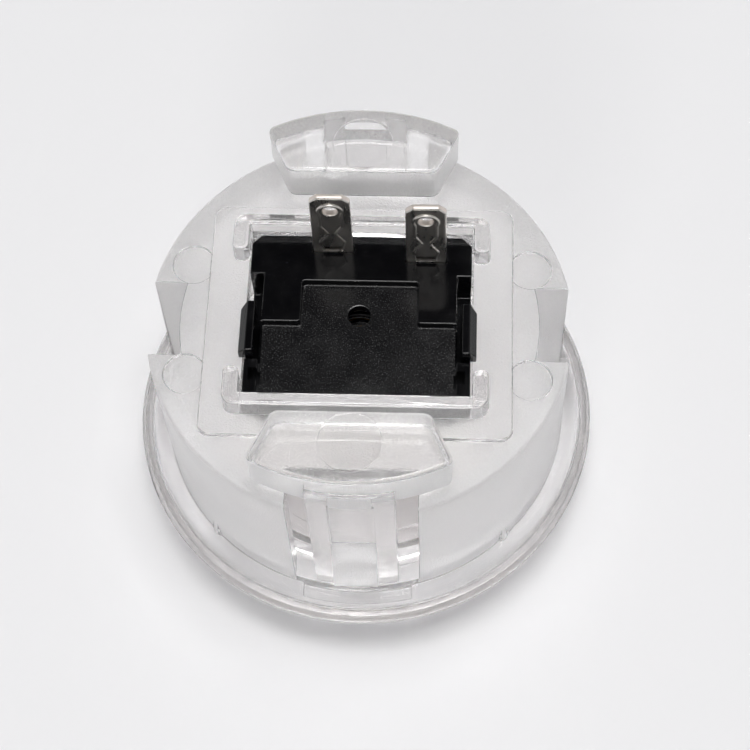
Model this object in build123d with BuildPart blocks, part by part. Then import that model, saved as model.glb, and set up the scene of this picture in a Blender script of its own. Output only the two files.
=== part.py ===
from build123d import *
import os
from math import cos, radians, sin, sqrt

# A clear snap-in push button for a 30 mm panel hole, lying face down on its plunger.
# Z = 0 is the plunger's crown, +Z runs to the solder blades, the latches are at -Y and +Y.
# All sizes are in millimetres.

# Housing: rim, collar and base plate
panel_hole_d = 30.0
panel_clearance = 0.4
rim_d = 34.0
rim_t = 3.2
rim_flat_w = 1.8
lip_drop = 0.7
lip_step = 0.25
lip_bevel = 0.3
lip_w = 0.8
body_h = 13.4
body_wall = 1.4
base_t = 1.8
base_round = 0.25
bore_chamfer = 0.3

# Housing: side channels, latch slots and crush ribs
channel_w = 5.7
channel_depth = 2.3
channel_wall = 1.2
floor_t = 0.8
slot_w = 1.5
slot_depth = 3.0
crush_rib_count = 4
crush_rib_angle = 45.0
crush_rib_w = 1.2
crush_rib_h = 3.5
crush_rib_tip = 0.5
pocket_overlap = 0.95
pocket_depth = 0.5
pocket_reach = 1.0

# Housing: latch arms with finger pads
latch_w = 5.9
arm_t = 1.4
arm_inset = 0.12
recess_w = 3.1
recess_depth = 0.6
hook_proud = 0.8
hook_apex_h = 2.8
hook_heel_h = 2.25
hook_ramp_h = 7.4
pad_rise = 1.3
pad_t = 3.6
pad_inset = 0.4
pad_depth = 5.2
pad_inner_w = 10.4
pad_outer_w = 13.6
pad_corner_r = 0.8
pad_tip_r = 0.5
pad_top_round = 0.15
pad_under_round = 0.45

# Housing: switch opening, guard ribs and ejector marks
guard_t = 1.1
guard_cross_t = 0.9
guard_h = 2.0
guard_leg = 2.0
guard_corner_r = 0.9
guard_end_r = 0.45
frame_margin_x = 1.65
frame_margin_y = 1.55
frame_corner_r = 0.9
frame_h = 0.3
plate_mark_d = 3.0
plate_mark_ring = 12.6
plate_mark_angle = 20.0
pad_mark_d = 4.2
pad_mark_lead = 2.25
mark_depth = 0.12

# Plunger: outer cap and the carrier inside it
plunger_d = 24.0
plunger_gap = 0.2
crown_h = 2.6
travel = 2.2
travel_gap = 0.3
crown_flat_r = 7.0
crown_drop = 0.9
crown_edge_r = 0.4
cap_t = 1.6
cap_wall = 1.0
cap_h = 3.3
insert_gap = 0.15
plug_gap = 0.15
plug_floor = 1.2
plug_h = 2.4
plug_wall = 1.2
leg_count = 4
leg_angle = 45.0
leg_gap = 0.3
leg_t = 1.2
leg_span = 18.0
leg_h = 5.0
leg_lift = 0.1
barb_bite = 0.6
barb_gap = 0.1
barb_land = 0.4
post_d = 5.0
press_gap = 0.05

# Switch: moulded case, cover and snap arms
switch_w = 15.5
switch_d = 12.8
switch_h = 10.2
switch_gap = 0.15
switch_proud = 0.7
case_h = 3.7
case_chamfer = 0.65
case_back_wall = 0.6
case_front_wall = 1.0
case_side_wall = 0.8
case_roof = 1.2
face_recess = 0.65
face_recess_w = 13.6
face_recess_y = -0.45
tab_w = 8.1
tab_y = 2.8
face_hole_d = 1.55
face_hole_y = 0.4
face_pocket_w = 0.8
face_pocket_d = 1.0
face_pocket_x = 7.0
face_pocket_y = -4.6
face_pocket_depth = 0.6
snap_arm_t = 0.6
snap_arm_front = -3.2
snap_arm_back = 0.65
snap_slot_front = -3.4
snap_slot_back = 3.3
snap_slot_w = 0.4
snap_arm_h = 3.0
snap_hook_proud = 0.4
snap_hook_h = 1.25
snap_hook_bevel = 0.5
snap_hook_cut = 0.45
snap_hook_gap = 0.05
lug_w = 1.8
lug_proud = 0.7
lug_t = 1.0
lug_inset = 0.3
cover_t = 1.0

# Switch: actuator, spring and contacts
nose_d = 3.2
nose_out = 2.4
nose_gap = 0.2
flange_left = 3.3
flange_right = 5.3
flange_front = 2.6
flange_back = 4.0
flange_t = 1.0
flange_gap = 0.1
boss_d = 2.8
boss_h = 2.0
spring_d = 4.2
spring_wire = 0.45
spring_turns = 5.0
bridge_t = 0.3
bridge_w = 1.6
bridge_end = 0.75
bridge_tongue_w = 5.4
bridge_hole_gap = 0.15
rivet_d = 1.4
rivet_h = 0.4
contact_y = 3.3
contact_gap = 0.05

# Switch: solder blades
blade_w = 2.8
blade_t = 0.5
blade_h = 6.9
blade_tip = 0.5
blade_left_x = -2.0
blade_left_y = 5.4
blade_right_x = 4.55
blade_right_y = 4.7
blade_slot_gap = 0.05
blade_eye_d = 1.0
blade_eye_drop = 1.6
blade_window_w = 1.4
blade_window_h = 0.5
blade_window_lift = 0.3
emboss_r = 0.85
emboss_h = 0.12
emboss_side_w = 1.5
emboss_side_drop = 1.9
emboss_neck_w = 0.5
emboss_neck_drop = 2.85
emboss_foot_w = 1.7
emboss_foot_lift = 1.4
blade_leg_w = 1.9

# Levels up the axis and radii that several pieces share
body_r = (panel_hole_d - panel_clearance) / 2
arm_r = body_r - arm_inset
rim_r = rim_d / 2
seat_r = rim_r - lip_w
plunger_r = plunger_d / 2
bore_r = plunger_r + plunger_gap
cavity_r = body_r - body_wall
channel_r = body_r - channel_depth
key_r = channel_r - channel_wall
rim_face_z = crown_h
seat_z = rim_face_z + rim_t
lip_z = seat_z - lip_drop
base_z = seat_z + body_h
base_in_z = base_z - base_t
key_z = cap_h + travel + travel_gap
channel_floor_z = key_z + floor_t
slot_floor_z = seat_z + floor_t
ledge_z = slot_floor_z
pad_z = base_z + pad_rise
pad_r = body_r - pad_inset
pad_in_y = pad_r - pad_depth
face_z = base_z + switch_proud
case_z = face_z - switch_h
split_z = face_z - case_h
cell_top_z = face_z - case_roof
opening_w = switch_w + 2 * switch_gap
opening_d = switch_d + 2 * switch_gap
guard_w = opening_w + 2 * guard_t
guard_d = opening_d + 2 * guard_cross_t
frame_w = guard_w + 2 * frame_margin_x
frame_d = guard_d + 2 * frame_margin_y
cell_w = switch_w - 2 * (snap_arm_t + snap_slot_w + case_side_wall)
cell_d = switch_d - case_front_wall - case_back_wall
cell_y = (case_front_wall - case_back_wall) / 2
nose_z = case_z - nose_out
flange_z = case_z + cover_t + flange_gap
bridge_z = flange_z + flange_t
moving_rivet_z = bridge_z + bridge_t
fixed_rivet_z = moving_rivet_z + rivet_h + travel + contact_gap
tongue_z = fixed_rivet_z + rivet_h
snap_root_z = face_z - snap_arm_h
blades = {
    "common_terminal": (blade_left_x, blade_left_y),
    "normally_open_terminal": (blade_right_x, blade_right_y),
}
overcut = 1.0

os.makedirs("parts", exist_ok=True)


# One latch: a strip of the collar's wall that carries the hook and the finger pad, at -Y
with BuildPart() as latch:
    pad_tip_y = -sqrt(pad_r**2 - (pad_outer_w / 2) ** 2)
    with BuildSketch(Plane.XY.offset(pad_z)) as pad_outline:
        with BuildLine():
            ThreePointArc((-pad_outer_w / 2, pad_tip_y), (0, -pad_r), (pad_outer_w / 2, pad_tip_y))
            Polyline(
                (pad_outer_w / 2, pad_tip_y),
                (pad_inner_w / 2, -pad_in_y),
                (-pad_inner_w / 2, -pad_in_y),
                (-pad_outer_w / 2, pad_tip_y),
            )
        make_face()
        fillet(pad_outline.vertices().group_by(Axis.Y)[-1], pad_corner_r)
        fillet(pad_outline.vertices().group_by(Axis.Y)[0], pad_tip_r)
    extrude(amount=pad_t)
    fillet(latch.faces().sort_by(Axis.Z)[-1].edges(), pad_top_round)
    fillet(latch.faces().sort_by(Axis.Z)[0].edges(), pad_under_round)
    with BuildSketch(Plane.XY.offset(pad_z + pad_t)):
        with Locations((0, -pad_in_y - pad_mark_lead)):
            Circle(pad_mark_d / 2)
    extrude(amount=-mark_depth, mode=Mode.SUBTRACT)
    with BuildSketch(Plane.XY.offset(slot_floor_z)):
        with Locations((0, -arm_r)):
            Rectangle(latch_w, 2 * arm_t + overcut)
        Circle(arm_r, mode=Mode.INTERSECT)
        Circle(arm_r - arm_t, mode=Mode.SUBTRACT)
    extrude(amount=pad_z + pad_t / 2 - slot_floor_z)
    with BuildSketch(Plane.XY.offset(slot_floor_z)):
        with Locations((0, -arm_r)):
            Rectangle(recess_w, 2 * recess_depth)
        Circle(arm_r - recess_depth, mode=Mode.SUBTRACT)
    extrude(amount=pad_z - slot_floor_z, mode=Mode.SUBTRACT)
    recess_y = -(arm_r - recess_depth)
    with BuildSketch(Plane.YZ):
        Polygon(
            (recess_y + recess_depth / 2, slot_floor_z),
            (recess_y, slot_floor_z),
            (-body_r, seat_z + hook_heel_h),
            (-body_r - hook_proud, seat_z + hook_apex_h),
            (recess_y, seat_z + hook_ramp_h),
            (recess_y + recess_depth / 2, seat_z + hook_ramp_h),
            align=None,
        )
    extrude(amount=recess_w / 2, both=True)


# The housing is one moulding: rim, collar, base plate and both latches
with BuildPart() as housing:
    with BuildSketch(Plane.XZ):
        with BuildLine():
            Polyline(
                (bore_r, rim_face_z + bore_chamfer),
                (bore_r + bore_chamfer, rim_face_z),
                (bore_r + bore_chamfer + rim_flat_w, rim_face_z),
            )
            EllipticalCenterArc(
                (bore_r + bore_chamfer + rim_flat_w, lip_z),
                rim_r - (bore_r + bore_chamfer + rim_flat_w),
                lip_z - rim_face_z,
                start_angle=270,
                arc_size=90,
            )
            Polyline(
                (rim_r, lip_z),
                (rim_r - lip_bevel, seat_z - lip_step),
                (seat_r, seat_z - lip_step),
                (seat_r, seat_z),
                (body_r, seat_z),
                (body_r, base_z - base_round),
            )
            CenterArc((body_r - base_round, base_z - base_round), base_round, 0, 90)
            Polyline(
                (body_r - base_round, base_z),
                (0, base_z),
                (0, base_in_z),
                (cavity_r, base_in_z),
                (cavity_r, ledge_z),
                (bore_r, ledge_z),
                (bore_r, rim_face_z + bore_chamfer),
            )
        make_face()
    revolve(axis=Axis.Z)

    # Side channels: the wall steps inwards, and the steps key the carrier
    with BuildSketch(Plane.XY.offset(key_z)):
        Rectangle(2 * body_r, channel_w + 2 * channel_wall)
        Circle(body_r - body_wall / 2, mode=Mode.INTERSECT)
        Circle(key_r, mode=Mode.SUBTRACT)
    extrude(amount=base_z - base_t / 2 - key_z)
    with BuildSketch(Plane.XY.offset(channel_floor_z)):
        Rectangle(2 * body_r + overcut, channel_w)
        Circle(channel_r, mode=Mode.SUBTRACT)
    extrude(amount=base_z + overcut - channel_floor_z, mode=Mode.SUBTRACT)

    # Raised frame on the base plate, the guard ribs and the switch opening
    with BuildSketch(Plane.XY.offset(base_z)):
        RectangleRounded(frame_w, frame_d, frame_corner_r)
    extrude(amount=frame_h)
    with BuildSketch(Plane.XY.offset(base_z)) as guards:
        RectangleRounded(guard_w, guard_d, guard_corner_r)
        Rectangle(opening_w, opening_d, mode=Mode.SUBTRACT)
        Rectangle(guard_w + overcut, opening_d - 2 * guard_leg, mode=Mode.SUBTRACT)
        leg_ends = guards.vertices().filter_by(lambda v: abs(v.Y) < opening_d / 2 - guard_leg + guard_end_r)
        fillet(leg_ends, guard_end_r)
    extrude(amount=guard_h)
    with BuildSketch(Plane.XY.offset(base_in_z)):
        Rectangle(opening_w, opening_d)
    extrude(amount=base_t + frame_h, mode=Mode.SUBTRACT)

    # Room for the latches to bend, then the latches themselves
    with BuildSketch(Plane.XY.offset(slot_floor_z)):
        for side in (-1, 1):
            with Locations((0, side * body_r)):
                Rectangle(latch_w + 2 * slot_w, 2 * slot_depth)
    extrude(amount=base_z + overcut - slot_floor_z, mode=Mode.SUBTRACT)
    add(latch.part)
    mirror(latch.part, about=Plane.XZ)

    # Pockets in the seat under the hooks, crush ribs at the foot of the collar
    with BuildSketch(Plane.XY.offset(seat_z)):
        for side in (-1, 1):
            with Locations((0, side * body_r)):
                Rectangle(latch_w + 2 * pocket_overlap, 2 * pocket_reach)
        Circle(body_r, mode=Mode.SUBTRACT)
        Circle(body_r + pocket_reach, mode=Mode.INTERSECT)
    extrude(amount=-pocket_depth, mode=Mode.SUBTRACT)
    crush_rib_r = panel_hole_d / 2 - crush_rib_w / 2
    rib_align = (Align.CENTER, Align.CENTER, Align.MIN)
    with Locations((0, 0, seat_z)):
        with PolarLocations(crush_rib_r, crush_rib_count, start_angle=crush_rib_angle):
            Cone(crush_rib_w / 2, crush_rib_tip / 2, crush_rib_h, align=rib_align)

    # Ejector marks on the base plate
    with BuildSketch(Plane.XY.offset(base_z)):
        for turn in (0, 180):
            for lean in (-plate_mark_angle, plate_mark_angle):
                with PolarLocations(plate_mark_ring, 1, start_angle=turn + lean):
                    Circle(plate_mark_d / 2)
    extrude(amount=-mark_depth, mode=Mode.SUBTRACT)
housing.part.label = "housing"
export_step(housing.part, "parts/housing.step")


# Plunger cap: a shallow cup with a flat crown that falls away to a rounded edge
with BuildPart() as plunger_cap:
    with BuildSketch(Plane.XZ) as cap_section:
        with BuildLine():
            Line((0, 0), (crown_flat_r, 0))
            TangentArc((crown_flat_r, 0), (plunger_r, crown_drop), tangent=(1, 0))
            Polyline(
                (plunger_r, crown_drop),
                (plunger_r, cap_h),
                (plunger_r - cap_wall, cap_h),
                (plunger_r - cap_wall, cap_t),
                (0, cap_t),
                (0, 0),
            )
        make_face()
        fillet(cap_section.vertices().sort_by_distance((plunger_r, crown_drop))[0], crown_edge_r)
    revolve(axis=Axis.Z)
plunger_cap.part.label = "plunger_cap"
export_step(plunger_cap.part, "parts/plunger_cap.step")


# Plunger carrier: a dished plug with a central post and four barbed legs
plug_z = cap_t + insert_gap
plug_r = plunger_r - cap_wall - plug_gap
leg_z = cap_h + leg_lift
leg_r = bore_r - leg_gap
barb_z = ledge_z + barb_gap
with BuildPart() as plunger_carrier:
    with BuildSketch(Plane.XZ):
        Polygon(
            (0, plug_z),
            (plug_r, plug_z),
            (plug_r, plug_z + plug_h),
            (plug_r - plug_wall, plug_z + plug_h),
            (plug_r - plug_wall, plug_z + plug_floor),
            (post_d / 2, plug_z + plug_floor),
            (post_d / 2, nose_z - press_gap),
            (0, nose_z - press_gap),
            align=None,
        )
    revolve(axis=Axis.Z)
    for leg in range(leg_count):
        start = radians(leg_angle + leg * 360 / leg_count - leg_span / 2)
        leg_plane = Plane((0, 0, 0), x_dir=(cos(start), sin(start), 0), z_dir=(sin(start), -cos(start), 0))
        with BuildSketch(leg_plane):
            Polygon(
                (plug_r - plug_wall, leg_z),
                (leg_r, leg_z),
                (leg_r, barb_z),
                (bore_r + barb_bite, barb_z),
                (bore_r + barb_bite, barb_z + barb_land),
                (leg_r, leg_z + leg_h),
                (leg_r - leg_t, leg_z + leg_h),
                (leg_r - leg_t, plug_z + plug_h),
                (plug_r - plug_wall, plug_z + plug_h),
                align=None,
            )
        revolve(axis=Axis.Z, revolution_arc=leg_span)
plunger_carrier.part.label = "plunger_carrier"
export_step(plunger_carrier.part, "parts/plunger_carrier.step")


# Switch case: the switch's upper half, open towards the plunger, with a snap arm on each side
# and four lugs that stop under the base plate
with BuildPart() as switch_case:
    with BuildSketch(Plane.XY.offset(split_z)) as case_outline:
        Rectangle(switch_w, switch_d)
        chamfer(case_outline.vertices().group_by(Axis.Y)[-1], case_chamfer)
    extrude(amount=case_h)
    with BuildSketch(Plane.XY.offset(base_in_z)):
        for side in (-1, 1):
            with GridLocations(switch_w - lug_w - 2 * (case_chamfer + lug_inset), 0, 2, 1):
                with Locations((0, side * switch_d / 2)):
                    Rectangle(lug_w, 2 * lug_proud)
    extrude(amount=-lug_t)
    with BuildSketch(Plane.XY.offset(split_z)):
        with Locations((0, cell_y)):
            Rectangle(cell_w, cell_d)
    extrude(amount=cell_top_z - split_z, mode=Mode.SUBTRACT)

    # Sunk front panel with its central tab
    with BuildSketch(Plane.XY.offset(face_z)):
        with Locations((0, face_recess_y)):
            Rectangle(face_recess_w, switch_d, align=(Align.CENTER, Align.MAX))
        with Locations((0, tab_y)):
            Rectangle(tab_w, switch_d, align=(Align.CENTER, Align.MAX))
    extrude(amount=-face_recess, mode=Mode.SUBTRACT)
    with BuildSketch(Plane.XY.offset(face_z - face_recess)):
        with Locations((0, face_hole_y)):
            Circle(face_hole_d / 2)
    extrude(amount=face_recess - case_roof, mode=Mode.SUBTRACT)
    with BuildSketch(Plane.XY.offset(face_z)):
        for side in (-1, 1):
            with Locations((side * face_pocket_x, face_pocket_y)):
                Rectangle(face_pocket_w, face_pocket_d)
    extrude(amount=-face_recess - face_pocket_depth, mode=Mode.SUBTRACT)

    # Snap arms, free on three sides, whose hooks reach over the base plate
    arm_in_x = switch_w / 2 - snap_arm_t
    with BuildSketch(Plane.XY.offset(snap_root_z)):
        for side in (-1, 1):
            with Locations((side * switch_w / 2, (snap_slot_front + snap_slot_back) / 2)):
                Rectangle(2 * (snap_arm_t + snap_slot_w), snap_slot_back - snap_slot_front)
    extrude(amount=snap_arm_h + overcut, mode=Mode.SUBTRACT)
    hook_z = base_z + frame_h + snap_hook_gap
    for side in (-1, 1):
        with BuildSketch(Plane.XZ.offset(-snap_arm_back)):
            Polygon(
                (side * arm_in_x, snap_root_z),
                (side * switch_w / 2, snap_root_z),
                (side * switch_w / 2, hook_z),
                (side * (switch_w / 2 + snap_hook_proud), hook_z),
                (side * (switch_w / 2 + snap_hook_proud), hook_z + snap_hook_h - snap_hook_bevel),
                (side * (switch_w / 2 + snap_hook_proud - snap_hook_bevel), hook_z + snap_hook_h),
                (side * arm_in_x, hook_z + snap_hook_h),
                align=None,
            )
        extrude(amount=snap_arm_back - snap_arm_front)
        with BuildSketch(Plane.XY.offset(hook_z)):
            with Locations((side * (switch_w / 2 + snap_hook_proud), snap_arm_back)):
                Rectangle(snap_hook_cut * sqrt(2), snap_hook_cut * sqrt(2), rotation=45)
        extrude(amount=snap_hook_h, mode=Mode.SUBTRACT)

    # Slots for the solder blades
    with BuildSketch(Plane.XY.offset(cell_top_z)):
        for blade_x, blade_y in blades.values():
            with Locations((blade_x, blade_y)):
                Rectangle(blade_w + 2 * blade_slot_gap, blade_t + 2 * blade_slot_gap)
    extrude(amount=case_roof, mode=Mode.SUBTRACT)
switch_case.part.label = "switch_case"
export_step(switch_case.part, "parts/switch_case.step")


# Switch cover: the switch's lower half, a cup welded to the case's mouth that guides the actuator's nose
with BuildPart() as switch_cover:
    with BuildSketch(Plane.XY.offset(case_z)) as cover_outline:
        Rectangle(switch_w, switch_d)
        chamfer(cover_outline.vertices().group_by(Axis.Y)[-1], case_chamfer)
    extrude(amount=split_z - case_z)
    with BuildSketch(Plane.XY.offset(case_z + cover_t)):
        with Locations((0, cell_y)):
            Rectangle(cell_w, cell_d)
    extrude(amount=split_z - case_z - cover_t, mode=Mode.SUBTRACT)
    with BuildSketch(Plane.XY.offset(case_z)):
        Circle(nose_d / 2 + nose_gap)
    extrude(amount=cover_t, mode=Mode.SUBTRACT)
switch_cover.part.label = "switch_cover"
export_step(switch_cover.part, "parts/switch_cover.step")


# Switch actuator: round nose, flange under the contact bridge and a boss inside the spring
with BuildPart() as switch_actuator:
    with BuildSketch(Plane.XY.offset(nose_z)):
        Circle(nose_d / 2)
    extrude(amount=flange_z - nose_z)
    with BuildSketch(Plane.XY.offset(flange_z)):
        with Locations(((flange_right - flange_left) / 2, (flange_back - flange_front) / 2)):
            Rectangle(flange_left + flange_right, flange_front + flange_back)
    extrude(amount=flange_t)
    with BuildSketch(Plane.XY.offset(bridge_z)):
        Circle(boss_d / 2)
    extrude(amount=boss_h)
switch_actuator.part.label = "switch_actuator"
export_step(switch_actuator.part, "parts/switch_actuator.step")


# Return spring: an open coil between the bridge and the case's roof
spring_z = moving_rivet_z + spring_wire / 2
spring_h = cell_top_z - spring_wire / 2 - spring_z
with BuildPart() as return_spring:
    with BuildLine() as coil:
        Helix(spring_h / spring_turns, spring_h, spring_d / 2, center=(0, 0, spring_z))
    with BuildSketch(Plane(coil.line @ 0, z_dir=coil.line % 0)):
        Circle(spring_wire / 2)
    sweep(path=coil.line)
return_spring.part.label = "return_spring"
export_step(return_spring.part, "parts/return_spring.step")


# Contact bridge: a stamped strip on the flange that joins the two fixed contacts when pressed
bridge_left = blade_left_x - bridge_end
bridge_right = blade_right_x + bridge_end
with BuildPart() as contact_bridge:
    with BuildSketch(Plane.XY.offset(bridge_z)):
        with Locations(((bridge_left + bridge_right) / 2, contact_y)):
            Rectangle(bridge_right - bridge_left, bridge_w)
        with Locations((0, contact_y)):
            Rectangle(bridge_tongue_w, contact_y + bridge_tongue_w / 2, align=(Align.CENTER, Align.MAX))
        Circle(boss_d / 2 + bridge_hole_gap, mode=Mode.SUBTRACT)
    extrude(amount=bridge_t)
contact_bridge.part.label = "contact_bridge"
export_step(contact_bridge.part, "parts/contact_bridge.step")


# Contact rivets: a pair on the bridge and a pair under the blades' tongues
contact_points = [(blade_x, contact_y) for blade_x, blade_y in blades.values()]
with BuildPart() as moving_contacts:
    with BuildSketch(Plane.XY.offset(moving_rivet_z)):
        with Locations(*contact_points):
            Circle(rivet_d / 2)
    extrude(amount=rivet_h)
moving_contacts.part.label = "moving_contacts"
export_step(moving_contacts.part, "parts/moving_contacts.step")

with BuildPart() as fixed_contacts:
    with BuildSketch(Plane.XY.offset(fixed_rivet_z)):
        with Locations(*contact_points):
            Circle(rivet_d / 2)
    extrude(amount=rivet_h)
fixed_contacts.part.label = "fixed_contacts"
export_step(fixed_contacts.part, "parts/fixed_contacts.step")


# Solder blades: stamped strips with an eye and an embossed keyhole outside, a leg and a tongue inside
eye_z = face_z + blade_h - blade_eye_drop
side_z = eye_z - emboss_side_drop
neck_z = eye_z - emboss_neck_drop
foot_z = face_z + emboss_foot_lift
window_z = face_z + blade_window_lift
for blade_name, (blade_x, blade_y) in blades.items():
    front_y = blade_y - blade_t / 2
    with BuildPart() as blade:
        with BuildSketch(Plane.XZ.offset(-blade_y - blade_t / 2)) as blade_outline:
            with Locations((blade_x, cell_top_z)):
                Rectangle(blade_w, face_z + blade_h - cell_top_z, align=(Align.CENTER, Align.MIN))
            chamfer(blade_outline.vertices().group_by(Axis.Z)[-1], blade_tip)
            with Locations((blade_x, tongue_z)):
                Rectangle(blade_leg_w, cell_top_z - tongue_z, align=(Align.CENTER, Align.MIN))
            with Locations((blade_x, eye_z)):
                Circle(blade_eye_d / 2, mode=Mode.SUBTRACT)
            with Locations((blade_x, window_z)):
                Rectangle(blade_window_w, blade_window_h, mode=Mode.SUBTRACT)
        extrude(amount=blade_t)
        with BuildSketch(Plane.XZ.offset(-front_y)):
            with Locations((blade_x, eye_z)):
                Circle(emboss_r)
            Polygon(
                (blade_x - emboss_side_w / 2, eye_z),
                (blade_x - emboss_side_w / 2, side_z),
                (blade_x - emboss_neck_w / 2, neck_z),
                (blade_x - emboss_foot_w / 2, foot_z),
                (blade_x - blade_window_w / 2, window_z + blade_window_h / 2),
                (blade_x + blade_window_w / 2, window_z + blade_window_h / 2),
                (blade_x + emboss_foot_w / 2, foot_z),
                (blade_x + emboss_neck_w / 2, neck_z),
                (blade_x + emboss_side_w / 2, side_z),
                (blade_x + emboss_side_w / 2, eye_z),
                align=None,
            )
            with Locations((blade_x, eye_z)):
                Circle(blade_eye_d / 2, mode=Mode.SUBTRACT)
        extrude(amount=emboss_h)
        with BuildSketch(Plane.XY.offset(tongue_z)):
            with Locations((blade_x, blade_y + blade_t / 2)):
                Rectangle(
                    blade_leg_w,
                    blade_y + blade_t / 2 - contact_y + bridge_w / 2,
                    align=(Align.CENTER, Align.MAX),
                )
        extrude(amount=blade_t)
    blade.part.label = blade_name
    export_step(blade.part, f"parts/{blade_name}.step")
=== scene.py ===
import math

import bmesh
import bpy
import numpy as np
from mathutils import Matrix, Vector


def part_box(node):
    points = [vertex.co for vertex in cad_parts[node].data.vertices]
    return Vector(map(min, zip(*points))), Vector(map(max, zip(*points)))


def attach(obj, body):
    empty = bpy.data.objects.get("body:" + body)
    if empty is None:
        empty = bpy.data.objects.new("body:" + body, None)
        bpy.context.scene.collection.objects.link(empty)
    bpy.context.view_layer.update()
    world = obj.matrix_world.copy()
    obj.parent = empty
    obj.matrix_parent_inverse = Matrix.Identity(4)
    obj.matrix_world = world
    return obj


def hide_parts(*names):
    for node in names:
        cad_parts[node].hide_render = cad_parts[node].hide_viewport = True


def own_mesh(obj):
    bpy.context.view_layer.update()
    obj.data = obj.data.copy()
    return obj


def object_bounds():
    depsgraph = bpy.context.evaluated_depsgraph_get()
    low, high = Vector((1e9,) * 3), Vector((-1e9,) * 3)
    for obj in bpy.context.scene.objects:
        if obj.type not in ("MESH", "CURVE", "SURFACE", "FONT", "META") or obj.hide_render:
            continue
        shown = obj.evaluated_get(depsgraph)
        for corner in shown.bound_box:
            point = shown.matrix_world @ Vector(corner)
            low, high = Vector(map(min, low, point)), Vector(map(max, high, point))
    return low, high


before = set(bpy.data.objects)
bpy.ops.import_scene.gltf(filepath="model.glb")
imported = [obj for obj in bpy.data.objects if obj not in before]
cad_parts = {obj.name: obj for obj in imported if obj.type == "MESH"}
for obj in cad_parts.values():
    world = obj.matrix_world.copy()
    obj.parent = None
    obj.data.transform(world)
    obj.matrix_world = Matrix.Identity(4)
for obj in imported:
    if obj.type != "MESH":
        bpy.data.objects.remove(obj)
cadLow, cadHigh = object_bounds()
mm = 0.001  # the script's own sizes are millimetres, the scene's are metres
past = {"side": 20, "top": 2, "end": 1}  # how far tools reach: from the axis, over a top, past an end
print("frame loaded:", ", ".join(sorted(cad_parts)))


# Mesh helpers: every shape is a grid of rings, worked out as whole arrays

meshing = {
    "weld": 1e-4, "sliver": 0.004, "flatDegrees": 0.3, "creaseDegrees": 30, "normalWeight": 100,
    "leastRound": 1e-6, "leastStep": 2e-5, "nearStraight": 0.9999,
}


def meshPiece(name, points, faces):
    mesh = bpy.data.meshes.new(name)
    mesh.from_pydata((np.asarray(points) * mm).tolist(), [], faces)
    work = bmesh.new()
    work.from_mesh(mesh)
    bmesh.ops.remove_doubles(work, verts=work.verts, dist=meshing["weld"] * mm)
    loose = [edge for edge in work.edges if not edge.link_faces]
    bmesh.ops.delete(work, geom=loose, context="EDGES")
    bmesh.ops.recalc_face_normals(work, faces=work.faces)
    work.to_mesh(mesh)
    work.free()
    piece = bpy.data.objects.new(name, mesh)
    bpy.context.scene.collection.objects.link(piece)
    return piece


def ringFaces(rings, around, closed):
    # quad (i, j) joins point j of ring i to point j + 1 of ring i + 1, and j wraps round
    rows = rings if closed else rings - 1
    row, col = np.meshgrid(np.arange(rows), np.arange(around), indexing="ij")
    ring, nextRing = row * around, (row + 1) % rings * around
    nextCol = (col + 1) % around
    corners = [ring + col, ring + nextCol, nextRing + nextCol, nextRing + col]
    return np.stack(corners, -1).reshape(-1, 4).tolist()


def roundCorners(corners, radius, steps=6):
    # each corner gives way to an arc tangent to its two sides, with a the angle turned:
    # centre = corner + bisector * r / sin(half angle)
    # point(t) = centre + (sin((1 - t) a) * start + sin(t a) * end) / sin(a)
    corners = np.asarray(corners, float)
    radius = np.maximum(np.broadcast_to(radius, len(corners)), meshing["leastRound"])[:, None]
    back = np.roll(corners, 1, 0) - corners
    ahead = np.roll(corners, -1, 0) - corners
    back /= np.linalg.norm(back, axis=1, keepdims=True)
    ahead /= np.linalg.norm(ahead, axis=1, keepdims=True)
    limit = meshing["nearStraight"]
    half = np.arccos(np.clip((back * ahead).sum(1, keepdims=True), -limit, limit)) / 2
    middle = (back + ahead) / np.linalg.norm(back + ahead, axis=1, keepdims=True)
    centre = corners + middle * radius / np.sin(half)
    start = corners + back * radius / np.tan(half) - centre
    end = corners + ahead * radius / np.tan(half) - centre
    turn = np.pi - 2 * half[:, None, :]
    t = np.linspace(0, 1, steps)[None, :, None]
    arcs = np.sin((1 - t) * turn) * start[:, None, :] + np.sin(t * turn) * end[:, None, :]
    points = (centre[:, None, :] + arcs / np.sin(turn)).reshape(-1, 2)
    return points[np.linalg.norm(points - np.roll(points, 1, 0), axis=1) > meshing["leastStep"]]


def arcPoints(centre, radius, start, end, steps):
    # point(t) = centre + radius * (cos t, sin t), t from start to end in degrees
    t = np.radians(np.linspace(start, end, steps))
    return np.asarray(centre) + radius * np.stack([np.cos(t), np.sin(t)], 1)


def circlePoints(centre, radius, count):
    # a whole turn of arcPoints, without the repeated last point
    return arcPoints(centre, radius, 0, 360, count + 1)[:-1]


def turned(name, profile, around=288, start=0.0, sweep=360.0):
    # a closed profile (r, z) turned about Z: P(u, v) = (r(v) cos u, r(v) sin u, z(v))
    whole = sweep >= 360
    u = np.radians(start + np.linspace(0, sweep, around, endpoint=not whole))[:, None]
    r, z = profile[:, 0][None, :], profile[:, 1][None, :]
    points = np.stack([r * np.cos(u), r * np.sin(u), z + 0 * u], -1).reshape(-1, 3)
    faces = ringFaces(around, len(profile), whole)
    if not whole:
        last = (around - 1) * len(profile)
        faces += [list(range(len(profile))), list(range(last, last + len(profile)))]
    return meshPiece(name, points, faces)


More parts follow.
